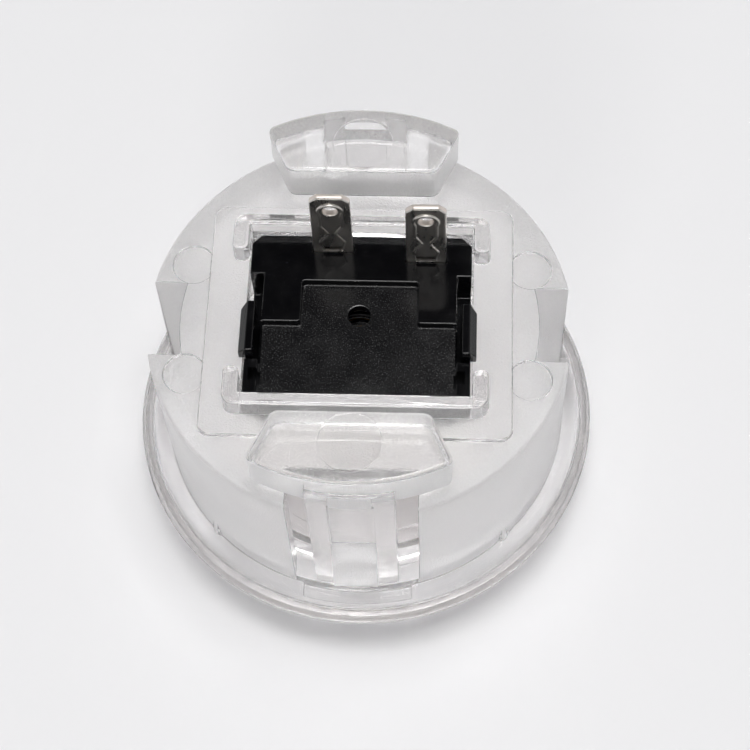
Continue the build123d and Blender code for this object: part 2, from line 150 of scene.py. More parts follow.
def roundedLevels(low, high, lowRound=0.0, highRound=0.0, steps=7):
    # (height, inset) up a prism: inset = r (1 - sin t), height = low + r (1 - cos t), and the same at the top
    t = np.linspace(0, np.pi / 2, steps)
    foot = np.stack([low + lowRound * (1 - np.cos(t)), lowRound * (1 - np.sin(t))], 1)
    head = np.stack([high - highRound * (1 - np.cos(t)), highRound * (1 - np.sin(t))], 1)[::-1]
    return np.concatenate([foot if lowRound else foot[:1], head if highRound else head[:1]])


def outwardNormals(outline):
    # across the chord from the point before to the point after, away from the inside
    tangent = np.roll(outline, -1, 0) - np.roll(outline, 1, 0)
    normal = np.stack([tangent[:, 1], -tangent[:, 0]], 1)
    normal /= np.linalg.norm(normal, axis=1, keepdims=True)
    x, y = outline.T
    return normal * np.sign((x * np.roll(y, -1) - y * np.roll(x, -1)).sum())


def carried(name, outline, levels, axes="xyz"):
    # an outline carried along the third axis: P(u, k) = outline(u) - inset(k) * normal(u), at height(k)
    normal = outwardNormals(outline)
    height, inset = np.asarray(levels, float).T
    flat = outline[None] - inset[:, None, None] * normal[None]
    points = np.concatenate([flat, np.broadcast_to(height[:, None, None], flat[..., :1].shape)], -1)
    order = [axes.index(axis) for axis in "xyz"]
    count = len(outline)
    faces = ringFaces(len(height), count, False)
    top = (len(height) - 1) * count
    faces += [list(range(count)), list(range(top, top + count))]
    return meshPiece(name, points.reshape(-1, 3)[:, order], faces)


def bead(name, outline, halfWidth, height, face, around=10):
    # a ridge along an outline in XZ: P(u, v) = outline(u) + w cos v * normal(u), y = face - h sin v
    v = np.linspace(0, 2 * np.pi, around, endpoint=False)[None, :, None]
    flat = outline[:, None] + halfWidth * np.cos(v) * outwardNormals(outline)[:, None]
    y = np.broadcast_to(face - height * np.sin(v), flat[..., :1].shape)
    points = np.concatenate([flat[..., :1], y, flat[..., 1:]], -1)
    return meshPiece(name, points.reshape(-1, 3), ringFaces(len(outline), around, True))


def block(name, low, high):
    # a box between two corners, as an outline carried up Z
    (x0, y0, z0), (x1, y1, z1) = low, high
    return carried(name, np.array([(x0, y0), (x1, y0), (x1, y1), (x0, y1)], float), [(z0, 0), (z1, 0)])


def meshNow(piece):
    # the piece's mesh with its modifiers worked in
    return bpy.data.meshes.new_from_object(piece.evaluated_get(bpy.context.evaluated_depsgraph_get()))


def tooled(piece, tools, how):
    # UNION adds the tools to the piece, DIFFERENCE takes them away
    for tool in tools:
        step = piece.modifiers.new("tool", "BOOLEAN")
        step.operation = how
        step.object = tool
        step.solver = "MANIFOLD"
        result = meshNow(piece)
        piece.modifiers.clear()
        piece.data = result
        bpy.data.objects.remove(tool)
    return piece


def softEdges(piece, width, angle, steps):
    # the creases that the tools left become narrow rounds, which catch the light
    work = bmesh.new()
    work.from_mesh(piece.data)
    sliver = meshing["sliver"] * mm
    bmesh.ops.remove_doubles(work, verts=work.verts, dist=sliver)
    bmesh.ops.dissolve_degenerate(work, edges=work.edges, dist=sliver)
    flat = math.radians(meshing["flatDegrees"])
    bmesh.ops.dissolve_limit(work, angle_limit=flat, verts=work.verts, edges=work.edges)
    sharp = [e for e in work.edges if len(e.link_faces) == 2 and e.calc_face_angle() > math.radians(angle)]
    bmesh.ops.bevel(
        work, geom=sharp, offset=width * mm, offset_type="OFFSET", segments=steps, profile=0.5,
        affect="EDGES", clamp_overlap=False, loop_slide=True,
    )
    work.to_mesh(piece.data)
    work.free()
    return piece


def faceArrays(piece):
    # the faces' centres, in millimetres, and their normals
    count = len(piece.data.polygons)
    centre, normal = np.empty(count * 3), np.empty(count * 3)
    piece.data.polygons.foreach_get("center", centre)
    piece.data.polygons.foreach_get("normal", normal)
    return centre.reshape(-1, 3) / mm, normal.reshape(-1, 3)


def dressed(piece, body, materials, nodes):
    piece.data.shade_smooth()
    piece.data.set_sharp_from_angle(angle=math.radians(meshing["creaseDegrees"]))
    even = piece.modifiers.new("even", "WEIGHTED_NORMAL")
    even.weight = meshing["normalWeight"]
    even.keep_sharp = True
    piece.data = meshNow(piece)
    piece.modifiers.clear()
    piece.data.materials.clear()
    for material in materials:
        piece.data.materials.append(material)
    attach(piece, body)
    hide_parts(*nodes)
    print(piece.name, "has", len(piece.data.polygons), "faces")
    return piece


def finishFaces(piece, indices):
    # the number of each face's material
    piece.data.polygons.foreach_set("material_index", indices.astype(np.int32))


# Materials

noiseSpan = (0.3, 0.7)  # where most of a noise lies


def startMaterial(name):
    material = bpy.data.materials.new(name)
    material.use_nodes = True
    tree = material.node_tree
    shader = tree.nodes["Principled BSDF"]
    place = tree.nodes.new("ShaderNodeTexCoord").outputs["Object"]
    return material, tree, shader, place


def noiseAt(tree, place, scale, detail, stretch=(1, 1, 1)):
    # noise with features of about 1 / scale metres, drawn out along an axis by a small stretch there
    shift = tree.nodes.new("ShaderNodeMapping")
    shift.inputs["Scale"].default_value = stretch
    noise = tree.nodes.new("ShaderNodeTexNoise")
    noise.inputs["Scale"].default_value = scale
    noise.inputs["Detail"].default_value = detail
    tree.links.new(place, shift.inputs["Vector"])
    tree.links.new(shift.outputs["Vector"], noise.inputs["Vector"])
    return noise.outputs["Fac"]


def spread(tree, value, low, high):
    # a noise's span spread over low to high
    span = tree.nodes.new("ShaderNodeMapRange")
    ends = zip(("From Min", "From Max", "To Min", "To Max"), (*noiseSpan, low, high))
    for socket, end in ends:
        span.inputs[socket].default_value = end
    tree.links.new(value, span.inputs["Value"])
    return span.outputs["Result"]


def bumpFrom(tree, value, depth, under=None):
    bump = tree.nodes.new("ShaderNodeBump")
    bump.inputs["Strength"].default_value = 1.0
    bump.inputs["Distance"].default_value = depth * mm
    tree.links.new(value, bump.inputs["Height"])
    if under is not None:
        tree.links.new(under, bump.inputs["Normal"])
    return bump.outputs["Normal"]


def rampFrom(tree, value, stops, blend):
    # a colour ramp between two stops, each a position and a colour
    ramp = tree.nodes.new("ShaderNodeValToRGB")
    ramp.color_ramp.interpolation = blend
    for stop, (position, shade) in zip(ramp.color_ramp.elements, stops):
        stop.position = position
        stop.color = shade
    tree.links.new(value, ramp.inputs["Fac"])
    return ramp.outputs["Color"]


clearLooks = {
    "housingClear": {
        "gloss": (0.03, 0.08), "clarity": (0.96, 0.98), "tintAndRimPaintedShade": (0.99, 1.0), "ripple": 0.003, "grain": 0.001,
    },
    "housingSatin": {
        "gloss": (0.1, 0.17), "clarity": (0.84, 0.96), "tintAndRimPaintedShade": (0.97, 1.0), "ripple": 0.003, "grain": 0.014,
    },
    "housingFrost": {
        "gloss": (0.29, 0.36), "clarity": (0.64, 0.86), "tintAndRimPaintedShade": (0.95, 1.0), "ripple": 0.004, "grain": 0.055,
    },
    "housingGuard": {
        "gloss": (0.08, 0.16), "clarity": (0.78, 0.92), "tintAndRimPaintedShade": (0.96, 1.0), "ripple": 0.003, "grain": 0.004,
    },
    # the rim's tint is far darker than the rest: painted shade, standing in for the shadowed floor seen
    # through the thick rim
    "housingRimPaintedShade": {
        "gloss": (0.04, 0.1), "clarity": (0.94, 0.97), "tintAndRimPaintedShade": (0.76, 0.81), "ripple": 0.003, "grain": 0.001,
    },
    "plungerClear": {
        "gloss": (0.03, 0.08), "clarity": (0.96, 0.98), "tintAndRimPaintedShade": (0.99, 1.0), "ripple": 0.003, "grain": 0.001,
    },
}
clearNoise = {"haze": (260, 4), "grain": (8000, 2), "flow": (220, 2)}
clearBend = 1.52  # how strongly the plastic bends light
clearWarmth = {"Red": 1.0, "Green": 0.993, "Blue": 0.992}


def clearPlastic(name):
    look = clearLooks[name]
    material, tree, shader, place = startMaterial(name)
    shader.inputs["IOR"].default_value = clearBend
    haze = noiseAt(tree, place, *clearNoise["haze"])
    tree.links.new(spread(tree, haze, *look["gloss"]), shader.inputs["Roughness"])
    grain = noiseAt(tree, place, *clearNoise["grain"])
    tree.links.new(spread(tree, grain, *look["clarity"]), shader.inputs["Transmission Weight"])
    # the base colour is the plastic's tint, and on the rim a painted shade that darkens it
    low, high = look["tintAndRimPaintedShade"]
    tintAndRimPaintedShade = tree.nodes.new("ShaderNodeCombineColor")
    for channel, share in clearWarmth.items():
        tree.links.new(spread(tree, grain, low * share, high * share), tintAndRimPaintedShade.inputs[channel])
    tree.links.new(tintAndRimPaintedShade.outputs["Color"], shader.inputs["Base Color"])
    flow = bumpFrom(tree, noiseAt(tree, place, *clearNoise["flow"]), look["ripple"])
    tree.links.new(bumpFrom(tree, grain, look["grain"], flow), shader.inputs["Normal"])
    return material


blackLook = {
    # paintedGlint is the paler colour of the scattered specks on the eroded panel, a painted glint
    "colour": (0.002, 0.002, 0.0026, 1), "paintedGlint": (0.05, 0.05, 0.05, 1), "paintedGlintRise": (0.56, 0.72),
    "polishGloss": (0.1, 0.18), "polishGrit": 0.001, "erodedGloss": (0.16, 0.22), "erodedGrit": 0.01,
    "bend": 1.5,
}
blackNoise = {"paintedSpeck": (10500, 3), "sheen": (700, 4), "grit": (9000, 2)}


def blackPlastic(name, gloss, grit):
    material, tree, shader, place = startMaterial(name)
    shader.inputs["Base Color"].default_value = blackLook["colour"]
    shader.inputs["IOR"].default_value = blackLook["bend"]
    sheen = noiseAt(tree, place, *blackNoise["sheen"])
    tree.links.new(spread(tree, sheen, *gloss), shader.inputs["Roughness"])
    pits = noiseAt(tree, place, *blackNoise["grit"])
    tree.links.new(bumpFrom(tree, pits, grit), shader.inputs["Normal"])
    return material, tree, shader, place


def polishedPlastic():
    return blackPlastic("polishedBlack", blackLook["polishGloss"], blackLook["polishGrit"])[0]


def erodedPlasticPaintedGlints():
    # the eroded panel's base colour carries painted glints, scattered paler specks that stand in for light
    # caught by its pits:
    # colour = ramp(noise) from the dark colour to the painted glint
    gloss, grit = blackLook["erodedGloss"], blackLook["erodedGrit"]
    material, tree, shader, place = blackPlastic("erodedBlackPaintedGlints", gloss, grit)
    stops = zip(blackLook["paintedGlintRise"], (blackLook["colour"], blackLook["paintedGlint"]))
    paintedGlints = rampFrom(tree, noiseAt(tree, place, *blackNoise["paintedSpeck"]), stops, "LINEAR")
    tree.links.new(paintedGlints, shader.inputs["Base Color"])
    return material


metalLooks = {
    "tinnedMetal": {
        "colour": (0.56, 0.54, 0.51, 1), "gloss": (0.22, 0.38), "grit": 0.003, "drawn": (1, 1, 0.25),
    },
    "shearedMetal": {
        "colour": (0.72, 0.66, 0.61, 1), "gloss": (0.42, 0.55), "grit": 0.004, "drawn": (1, 0.3, 1),
    },
    # the spring's colour is darkened far below steel's own: painted shade, so the coils seen down the
    # switch's small hole stay dark
    "springSteelPaintedShade": {
        "colour": (0.14, 0.14, 0.14, 1), "gloss": (0.2, 0.32), "grit": 0.002, "drawn": (1, 1, 1),
    },
    "bridgeMetal": {
        "colour": (0.5, 0.3, 0.17, 1), "gloss": (0.25, 0.38), "grit": 0.002, "drawn": (0.2, 1, 1),
    },
    "contactSilver": {
        "colour": (0.9, 0.89, 0.86, 1), "gloss": (0.18, 0.3), "grit": 0.002, "drawn": (1, 1, 1),
    },
}
metalNoise = {"sheen": (1400, 5), "grit": (4200, 4)}


def stampedMetal(name):
    look = metalLooks[name]
    material, tree, shader, place = startMaterial(name)
    shader.inputs["Base Color"].default_value = look["colour"]
    shader.inputs["Metallic"].default_value = 1.0
    sheen = noiseAt(tree, place, *metalNoise["sheen"], look["drawn"])
    tree.links.new(spread(tree, sheen, *look["gloss"]), shader.inputs["Roughness"])
    grit = noiseAt(tree, place, *metalNoise["grit"], look["drawn"])
    tree.links.new(bumpFrom(tree, grit, look["grit"]), shader.inputs["Normal"])
    return material


nylonLook = {
    "colour": (0.84, 0.83, 0.8, 1), "gloss": (0.35, 0.5), "grit": 0.004,
    "sheenNoise": (600, 3), "gritNoise": (3000, 2),
}


def actuatorPlastic():
    material, tree, shader, place = startMaterial("actuatorPlastic")
    shader.inputs["Base Color"].default_value = nylonLook["colour"]
    sheen = noiseAt(tree, place, *nylonLook["sheenNoise"])
    tree.links.new(spread(tree, sheen, *nylonLook["gloss"]), shader.inputs["Roughness"])
    grit = noiseAt(tree, place, *nylonLook["gritNoise"])
    tree.links.new(bumpFrom(tree, grit, nylonLook["grit"]), shader.inputs["Normal"])
    return material


finishNames = ("Clear", "Satin", "Frost", "Guard", "RimPaintedShade")
housingFinishes = [clearPlastic("housing" + finish) for finish in finishNames]
plungerClear = clearPlastic("plungerClear")
polishedBlack = polishedPlastic()
erodedBlackPaintedGlints = erodedPlasticPaintedGlints()
tinned = stampedMetal("tinnedMetal")
sheared = stampedMetal("shearedMetal")
print("materials made")


# Housing: one clear moulding with rim, collar, base plate, guards and two latches

housing = {
    "boreRadius": 12.2, "cavityRadius": 13.4, "collarRadius": 14.8, "seatRadius": 16.2,
    "rimRadius": cadHigh.x / mm, "rimFace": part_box("housing")[0].z / mm, "rimFlat": 1.8, "boreChamfer": 0.3,
    "lip": 5.1, "lipBevel": 0.3, "lipStep": 0.25, "seat": 5.8, "ledge": 6.6, "plateUnder": 17.4,
    "plateTop": 19.2, "plateRound": 0.25, "edgeRound": 0.08,
    "softEdge": 0.05, "softAngle": 40, "softSteps": 2,
    "channelWidth": 5.7, "channelRadius": 12.5, "channelWall": 1.2, "channelFloor": 6.6,
    "keyFloor": 5.8, "keyDrop": 0.9, "slotWidth": 8.9, "slotDepth": 3.0,
}
latch = {
    "armWidth": 5.9, "armOuter": 14.68, "armInner": 13.28, "armSink": 0.4,
    "recessWidth": 3.1, "recessDepth": 0.6, "recessOver": 0.02,
    "hookProud": 0.8, "hookHeel": 8.05, "hookApex": 8.6, "hookTop": 13.2, "hookFoot": 0.2, "hookSink": 0.3,
    "hookRounds": (0, 0, 0, 0.05, 0.15, 0.1, 0),
    "padLow": 20.5, "padHigh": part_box("housing")[1].z / mm, "padRadius": 14.4, "padDepth": 5.2,
    "padInner": 10.4, "padOuter": 13.6, "padCorner": 0.8, "padTip": 0.5, "padTopRound": 0.3,
    "padUnderRound": 0.45, "markRadius": 2.1, "markLead": 2.25,
}
guard = {
    "openingWidth": 15.8, "openingDepth": 13.1, "side": 1.1, "cross": 0.9, "top": 21.2, "leg": 2.0,
    "sink": 0.6, "cornerRadius": 0.9, "endRadius": 0.45, "innerRadius": 0.15, "topRound": 0.2,
    "frameWidth": 21.3, "frameDepth": 18.0, "frameTop": 19.5, "frameCorner": 0.9, "frameRound": 0.12,
    "frameSink": 0.4,
}
marks = {"radius": 1.5, "ring": 12.6, "lean": 20.0, "depth": 0.12, "over": 0.2, "points": 72}
crushRib = {"foot": 0.6, "tip": 0.25, "height": 3.5, "reach": 15.0, "sink": 0.01, "count": 4, "first": 45}
pocket = {"width": 7.8, "reach": 1.0, "depth": 0.5, "over": 0.4, "skin": 0.001}
frontSide, backSide, rightSide, leftSide = -90, 90, 0, 180  # bearings about Z, in degrees


def collarSection():
    # the rim's quarter ellipse: (r, z) = (flat + a cos t, lip + b sin t), t from -90 to 0 degrees
    bore, cavity, collar = housing["boreRadius"], housing["cavityRadius"], housing["collarRadius"]
    rim, seatEdge, chamfer = housing["rimRadius"], housing["seatRadius"], housing["boreChamfer"]
    face, lip, seat = housing["rimFace"], housing["lip"], housing["seat"]
    step = seat - housing["lipStep"]
    flat = bore + chamfer + housing["rimFlat"]
    t = np.radians(np.linspace(-90, 0, 40))
    dome = np.stack([flat + (rim - flat) * np.cos(t), lip + (lip - face) * np.sin(t)], 1)
    outside = [
        (rim - housing["lipBevel"], step),
        (seatEdge, step),
        (seatEdge, seat),
        (collar, seat),
        (collar, housing["plateTop"]),
        (0, housing["plateTop"]),
        (0, housing["plateUnder"]),
        (cavity, housing["plateUnder"]),
        (cavity, housing["ledge"]),
        (bore, housing["ledge"]),
        (bore, face + chamfer),
        (bore + chamfer, face),
    ]
    edge = housing["edgeRound"]
    radii = [edge] * 4 + [housing["plateRound"], 0, 0, 2 * edge] + [edge] * 4
    rounded = roundCorners([dome[0], dome[-1]] + outside, [0, 0] + radii)
    split = np.argmin(np.linalg.norm(rounded - dome[-1], axis=1))
    start = np.argmin(np.linalg.norm(rounded - dome[0], axis=1))
    return np.concatenate([dome, np.roll(rounded, -split, 0)[1:(start - split) % len(rounded)]])


def ringStrip(width, inner, outer, low, high, side, steps=24):
    # the part of a ring that lies within a strip: outer arc one way, inner arc back
    outerTurn = math.degrees(math.asin(width / 2 / outer))
    innerTurn = math.degrees(math.asin(width / 2 / inner))
    out = arcPoints((0, 0), outer, side - outerTurn, side + outerTurn, steps)
    back = arcPoints((0, 0), inner, side + innerTurn, side - innerTurn, steps)
    return carried("strip", np.concatenate([out, back]), [(low, 0), (high, 0)])


def padOutline():
    # the collar's arc and three straight sides, the outer corners rounded by arcs that touch both:
    # centre at R - r from the axis and r from the side, solved as a quadratic along the side
    radius, tipRound, bend = latch["padRadius"], latch["padTip"], latch["padCorner"]
    halfOuter = latch["padOuter"] / 2
    tip = np.array([halfOuter, -math.sqrt(radius**2 - halfOuter**2)])
    inner = np.array([latch["padInner"] / 2, latch["padDepth"] - radius])
    along = (inner - tip) / np.linalg.norm(inner - tip)
    inward = np.array([-along[1], along[0]])
    base = tip + inward * tipRound
    slope = base @ along
    rest = base @ base - (radius - tipRound) ** 2
    centre = base + along * (-slope - math.sqrt(slope * slope - rest))
    onArc = math.degrees(math.atan2(centre[1], centre[0]))
    onSide = math.degrees(math.atan2(-inward[1], -inward[0]))
    outer = arcPoints((0, 0), radius, -180 - onArc, onArc, 60)
    corner = arcPoints(centre, tipRound, onArc, onSide, 12)
    touch = centre - inward * tipRound
    straight = roundCorners([touch, inner, inner * (-1, 1), touch * (-1, 1)], [0, bend, bend, 0], 10)
    return np.concatenate([outer[1:-1], corner, straight[1:-1], (corner * (-1, 1))[::-1]])


def latchPiece():
    # pad, arm with its recess, and the hook's section in YZ carried along X
    ledge, collar = housing["ledge"], housing["collarRadius"]
    low, high = latch["padLow"], latch["padHigh"]
    padLevels = roundedLevels(low, high, latch["padUnderRound"], latch["padTopRound"])
    pad = carried("pad", padOutline(), padLevels)
    armLow, armHigh = ledge - latch["armSink"], (low + high) / 2
    arm = ringStrip(latch["armWidth"], latch["armInner"], latch["armOuter"], armLow, armHigh, frontSide)
    recessY = latch["recessDepth"] - latch["armOuter"]
    half = latch["recessWidth"] / 2
    recess = block("recess", (-half, -past["side"], ledge), (half, recessY, low + latch["recessOver"]))
    tooled(arm, [recess], "DIFFERENCE")
    rootY, footZ = recessY + latch["hookSink"], ledge - latch["hookFoot"]
    wedge = np.array([
        (rootY, footZ),
        (recessY, footZ),
        (recessY, ledge),
        (-collar, latch["hookHeel"]),
        (-collar - latch["hookProud"], latch["hookApex"]),
        (recessY, latch["hookTop"]),
        (rootY, latch["hookTop"]),
    ])
    hook = carried("hook", roundCorners(wedge, latch["hookRounds"], 5), [(-half, 0), (half, 0)], "yzx")
    tooled(pad, [arm, hook], "UNION")
    markY = latch["padDepth"] - latch["padRadius"] - latch["markLead"]
    markLevels = [(high - marks["depth"], 0), (high + past["top"], 0)]
    mark = carried("mark", circlePoints((0, markY), latch["markRadius"], marks["points"]), markLevels)
    return tooled(pad, [mark], "DIFFERENCE")


def guardPiece(side):
    # a U round one end of the opening: side 1 is the front, -1 the back
    inX, inY = guard["openingWidth"] / 2, guard["openingDepth"] / 2
    outX, outY = inX + guard["side"], inY + guard["cross"]
    endY = inY - guard["leg"]
    corners = np.array([
        (-outX, -outY), (outX, -outY), (outX, -endY), (inX, -endY),
        (inX, -inY), (-inX, -inY), (-inX, -endY), (-outX, -endY),
    ]) * (1, side)
    end, inner = guard["endRadius"], guard["innerRadius"]
    outline = roundCorners(corners, [guard["cornerRadius"]] * 2 + [end, end, inner, inner, end, end], 9)
    levels = roundedLevels(housing["plateTop"] - guard["sink"], guard["top"], 0, guard["topRound"])
    return carried("guard", outline, levels)


def framePiece():
    # the raised frame on the plate
    halfX, halfY = guard["frameWidth"] / 2, guard["frameDepth"] / 2
    corners = np.array([(-halfX, -halfY), (halfX, -halfY), (halfX, halfY), (-halfX, halfY)])
    low = housing["plateTop"] - guard["frameSink"]
    levels = roundedLevels(low, guard["frameTop"], 0, guard["frameRound"])
    return carried("frame", roundCorners(corners, guard["frameCorner"], 9), levels)


def keyPiece(side):
    # the wall behind a channel
    wall = housing["channelWall"]
    middle = (housing["cavityRadius"] + housing["collarRadius"]) / 2
    return ringStrip(
        housing["channelWidth"] + 2 * wall, housing["channelRadius"] - wall, middle,
        housing["keyFloor"], housing["plateTop"] - housing["keyDrop"], side,
    )


def crushRibPiece(turn):
    # a tapered pin on the seat, most of it inside the collar's wall
    foot, tip, height = crushRib["foot"], crushRib["tip"], crushRib["height"]
    rib = turned("rib", np.array([(0, 0), (foot, 0), (tip, height), (0, height)]), 32)
    angle = math.radians(crushRib["first"] + turn * 360 / crushRib["count"])
    reach = crushRib["reach"] - foot
    place = Vector((reach * math.cos(angle), reach * math.sin(angle), housing["seat"] - crushRib["sink"]))
    rib.data.transform(Matrix.Translation(place * mm))
    return rib


def plateMark(bearing):
    angle = math.radians(bearing)
    centre = marks["ring"] * np.array((math.cos(angle), math.sin(angle)))
    levels = [(housing["plateTop"] - marks["depth"], 0), (housing["plateTop"] + marks["over"], 0)]
    return carried("mark", circlePoints(centre, marks["radius"], marks["points"]), levels)


def plateCuts():
    # the two side channels, the latches' slots and the switch's opening
    above, ledge = housing["plateTop"] + past["top"], housing["ledge"]
    channels = [
        ringStrip(
            housing["channelWidth"], housing["channelRadius"], past["side"],
            housing["channelFloor"], above, side,
        )
        for side in (rightSide, leftSide)
    ]
    slotX, slotY = housing["slotWidth"] / 2, housing["collarRadius"] - housing["slotDepth"]
    slots = [
        block("slot", (-slotX, near, ledge), (slotX, far, above))
        for near, far in ((-past["side"], -slotY), (slotY, past["side"]))
    ]
    openX, openY = guard["openingWidth"] / 2, guard["openingDepth"] / 2
    under = housing["plateUnder"] - past["end"]
    return channels + slots + [block("opening", (-openX, -openY, under), (openX, openY, above))]


def seatPocket(side):
    collar, seat = housing["collarRadius"], housing["seat"]
    return ringStrip(
        pocket["width"], collar + pocket["skin"], collar + pocket["reach"],
        seat - pocket["depth"], seat + pocket["over"], side,
    )


def makeHousing():
    piece = turned("housingShell", collarSection())
    tooled(piece, [keyPiece(rightSide), keyPiece(leftSide), framePiece()], "UNION")
    tooled(piece, plateCuts(), "DIFFERENCE")
    front = latchPiece()
    back = front.copy()
    back.data = front.data.copy()
    back.data.transform(Matrix.Rotation(math.pi, 4, "Z"))
    bpy.context.scene.collection.objects.link(back)
    ribs = [crushRibPiece(turn) for turn in range(crushRib["count"])]
    tooled(piece, [guardPiece(1), guardPiece(-1), front, back] + ribs, "UNION")
    pockets = [seatPocket(frontSide), seatPocket(backSide)]
    plateMarks = [
        plateMark(side + lean) for side in (rightSide, leftSide) for lean in (-marks["lean"], marks["lean"])
    ]
    tooled(piece, pockets + plateMarks, "DIFFERENCE")
    softEdges(piece, housing["softEdge"], housing["softAngle"], housing["softSteps"])
    dressed(piece, "housing", housingFinishes, ["housing"])
    finishFaces(piece, mouldFinish(piece))
    return piece


zone = {
    "skin": 0.02, "slack": 0.01, "plateBand": 0.3, "wallIn": 0.1, "wallTilt": 0.5, "wallTurn": -6,
    "latchGap": 0.05, "latchFrom": 9, "level": 0.9, "upright": 0.3, "edgeTilt": 0.97, "edgeIn": 0.3,
    "hookIn": 0.6, "hookTilt": 0.1, "hookFrom": 0.5, "guardFrom": 0.03, "boreGap": 0.05, "facing": 0.7,
}


def mouldFinish(piece):
    # the first zone that holds a face gives its finish, and the rest stays clear
    centre, normal = faceArrays(piece)
    x, y, height = centre.T
    tilt = normal[:, 2]
    radius = np.hypot(x, y)
    outward = (centre[:, :2] * normal[:, :2]).sum(1)
    collar, ledge, top = housing["collarRadius"], housing["ledge"], housing["plateTop"]
    plate = (height > top - zone["plateBand"]) & (height < guard["top"] + zone["slack"]) & (radius < collar)
    betweenSlots = np.abs(y) < collar - housing["slotDepth"] - zone["slack"]
    plate &= betweenSlots | (height < latch["padLow"] - zone["slack"])
    wall = (radius > housing["channelRadius"] - zone["wallIn"]) & (height > ledge + zone["wallIn"])
    wall &= (height < top) & (tilt < zone["wallTilt"]) & (outward > zone["wallTurn"])
    ends = np.abs(y) > zone["latchFrom"]
    latches = ends & (np.abs(x) < housing["slotWidth"] / 2 + zone["latchGap"]) & (height < top)
    padTop = (height > latch["padHigh"] - zone["skin"]) & (tilt > zone["level"])
    padSide = ends & (height > latch["padLow"]) & (np.abs(tilt) < zone["upright"])
    hook = (np.abs(x) < latch["recessWidth"] / 2 + zone["skin"]) & (radius > collar - zone["hookIn"])
    hook &= (height > ledge + zone["hookFrom"]) & (height < latch["hookTop"] + zone["wallIn"])
    hook &= tilt > zone["hookTilt"]
    guards = plate & (height > guard["frameTop"] + zone["guardFrom"])
    guardFront = (normal[:, 1] < -zone["facing"]) & (y < 0)
    guardSide = guards & (np.abs(tilt) < zone["upright"]) & ~guardFront
    edges = plate & (np.abs(tilt) < zone["edgeTilt"]) & (radius < collar - zone["edgeIn"])
    # the rim's faces, which take the finish with the painted shade
    rim = (height < ledge - zone["wallIn"]) & (radius > housing["boreRadius"] + zone["boreGap"])
    zones = (
        ("Clear", guardSide), ("Frost", hook | padSide), ("Satin", (wall & latches) | padTop),
        ("Guard", guards | edges), ("Frost", plate | wall), ("RimPaintedShade", rim),
    )
    return np.select([faces for name, faces in zones], [finishNames.index(name) for name, faces in zones], 0)


makeHousing()


# Plunger: a clear cap with a flat crown, and the clear carrier that rides inside it

cap = {
    "radius": 12.0, "flat": 7.0, "drop": 0.9, "floor": 1.6, "wall": 1.0, "height": 3.3, "edgeIn": 0.35,
    "edgeUp": 0.1, "rounds": (0.25, 0.12, 0.12, 0.2, 0, 0, 0),
}
carrier = {
    "low": 1.75, "radius": 10.85, "floor": 1.2, "height": 2.4, "wall": 1.2, "postRadius": 2.5,
    "postTop": 7.25, "plugRounds": (0, 0.15, 0.15, 0.15, 0.2, 0.3, 0.25, 0),
    "legRadius": 11.9, "legWall": 1.2, "legLow": 3.4, "legHeight": 5.0, "legSpan": 18.0, "legs": 4,
    "legFirst": 45, "legJoin": 0.2, "legRound": 0.06, "barbRadius": 12.8, "barb": 6.7, "barbLand": 0.4,
}


def makeCap():
    # the crown falls away on the circle that leaves the flat level: radius = (run^2 + drop^2) / (2 drop)
    radius, flat, drop = cap["radius"], cap["flat"], cap["drop"]
    floor, top, inside = cap["floor"], cap["height"], cap["radius"] - cap["wall"]
    run = radius - flat
    bend = (run**2 + drop**2) / (2 * drop)
    end = math.degrees(math.asin((run - cap["edgeIn"]) / bend))
    crown = arcPoints((flat, bend), bend, -90, -90 + end, 30)
    corners = [
        (radius, crown[-1][1] + cap["edgeUp"]), (radius, top), (inside, top),
        (inside, floor), (0, floor), (0, 0), tuple(crown[-1]),
    ]
    rounded = roundCorners(corners, cap["rounds"], 7)
    keep = np.argmin(np.linalg.norm(rounded - (0, floor), axis=1))
    profile = np.concatenate([[(0, 0)], crown, rounded[:keep + 1]])
    return dressed(turned("plungerCap", profile), "plunger", [plungerClear], ["plunger_cap"])


def makeCarrier():
    low, radius, post, postTop = carrier["low"], carrier["radius"], carrier["postRadius"], carrier["postTop"]
    top, floor, inside = low + carrier["height"], low + carrier["floor"], radius - carrier["wall"]
    plug = [
        (0, low), (radius, low), (radius, top), (inside, top),
        (inside, floor), (post, floor), (post, postTop), (0, postTop),
    ]
    legOut, legLow, join = carrier["legRadius"], carrier["legLow"], top - carrier["legJoin"]
    legIn, legTop = legOut - carrier["legWall"], legLow + carrier["legHeight"]
    barb, barbOut = carrier["barb"], carrier["barbRadius"]
    legSection = [
        (inside, legLow), (legOut, legLow), (legOut, barb), (barbOut, barb),
        (barbOut, barb + carrier["barbLand"]), (legOut, legTop),
        (legIn, legTop), (legIn, join), (inside, join),
    ]
    piece = turned("plungerCarrier", roundCorners(plug, carrier["plugRounds"], 6))
    legProfile = roundCorners(legSection, carrier["legRound"], 4)
    first = carrier["legFirst"] - carrier["legSpan"] / 2
    legs = [
        turned("leg", legProfile, 24, first + leg * 360 / carrier["legs"], carrier["legSpan"])
        for leg in range(carrier["legs"])
    ]
    tooled(piece, legs, "UNION")
    return dressed(piece, "plunger", [plungerClear], ["plunger_carrier"])


makeCap()
makeCarrier()


# Switch: the black moulded case with its sunk front panel, snap arms and stop lugs

